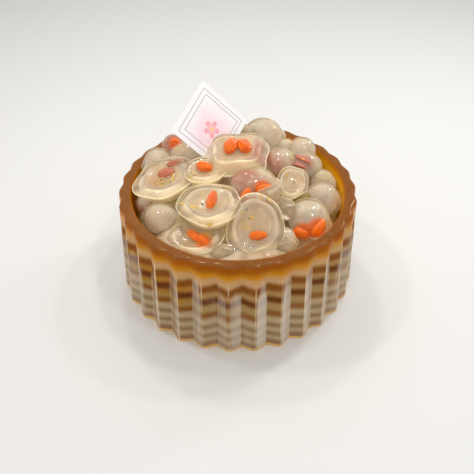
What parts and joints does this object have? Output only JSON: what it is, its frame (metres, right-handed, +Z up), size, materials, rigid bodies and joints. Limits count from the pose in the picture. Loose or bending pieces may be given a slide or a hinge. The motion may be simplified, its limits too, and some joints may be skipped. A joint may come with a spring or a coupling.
{
  "type": "layered jelly cake",
  "caption": "Round fluted jelly cake of amber and coconut layers, its recessed top heaped with peeled fruit in clear jelly with goji berries, and a small blank card.",
  "frame": {"origin": "centre of the underside", "axes": "+Z up, -Y the pictured front, +X to the right"},
  "size_m": [0.1692, 0.169, 0.1323],
  "materials": {
    "honey_edge": "glossy set jelly, honey yellow",
    "coconut": "glossy set jelly, milky coconut",
    "taupe": "glossy set jelly, pale milky brown",
    "brown_sugar": "glossy set jelly, brown sugar",
    "amber_jelly": "glossy amber jelly",
    "clear_jelly": "glossy pale olive-yellow jelly",
    "peeled_fruit": "wet translucent white fruit",
    "opened_fruit": "wet translucent fruit in clear jelly",
    "goji": "soaked orange-red berry skin",
    "card": "matt white card"
  },
  "bodies": {
    "root": {"layer_01_honey_edge": "honey_edge", "layer_02_mauve": "brown_sugar", "layer_03_coconut": "coconut", "layer_04_taupe": "taupe", "layer_05_coconut": "coconut", "layer_06_taupe": "taupe", "layer_07_coconut": "coconut", "layer_08_brown_sugar": "brown_sugar", "layer_09_coconut": "coconut", "layer_10_dark_sugar": "brown_sugar", "layer_11_coconut": "coconut", "layer_12_brown_sugar": "brown_sugar", "layer_13_coconut": "coconut", "amber_rim": "amber_jelly", "recess_wall": "amber_jelly", "recess_floor": "amber_jelly", "jelly_mound": "clear_jelly", "cup_crown": "opened_fruit", "cup_front": "opened_fruit", "cup_centre": "opened_fruit", "cup_left": "opened_fruit", "cup_front_left": "opened_fruit", "cup_upper_left": "opened_fruit", "ball_front_right": "peeled_fruit", "cup_small_right": "opened_fruit", "ball_right": "peeled_fruit", "ball_front_left": "peeled_fruit", "block_centre": "peeled_fruit", "lump_behind_centre": "peeled_fruit", "lump_right_streaked": "peeled_fruit", "ball_back": "peeled_fruit", "ball_back_right": "peeled_fruit", "knob_back_right": "peeled_fruit", "lump_far_right": "peeled_fruit", "lump_front_right": "peeled_fruit", "ball_left_rim": "peeled_fruit", "ball_under_card": "peeled_fruit", "lump_back_left": "peeled_fruit", "lump_left_rim": "peeled_fruit", "ball_behind_card": "peeled_fruit", "ball_back_corner": "peeled_fruit", "ball_behind_crown": "peeled_fruit", "lump_front_fill": "peeled_fruit", "lump_back_low": "peeled_fruit", "goji_crown_left": "goji", "goji_crown_right": "goji", "goji_centre": "goji", "goji_front": "goji", "goji_left": "goji", "goji_front_left": "goji", "goji_upper_left": "goji", "card": "card"}
  },
  "joints": []
}
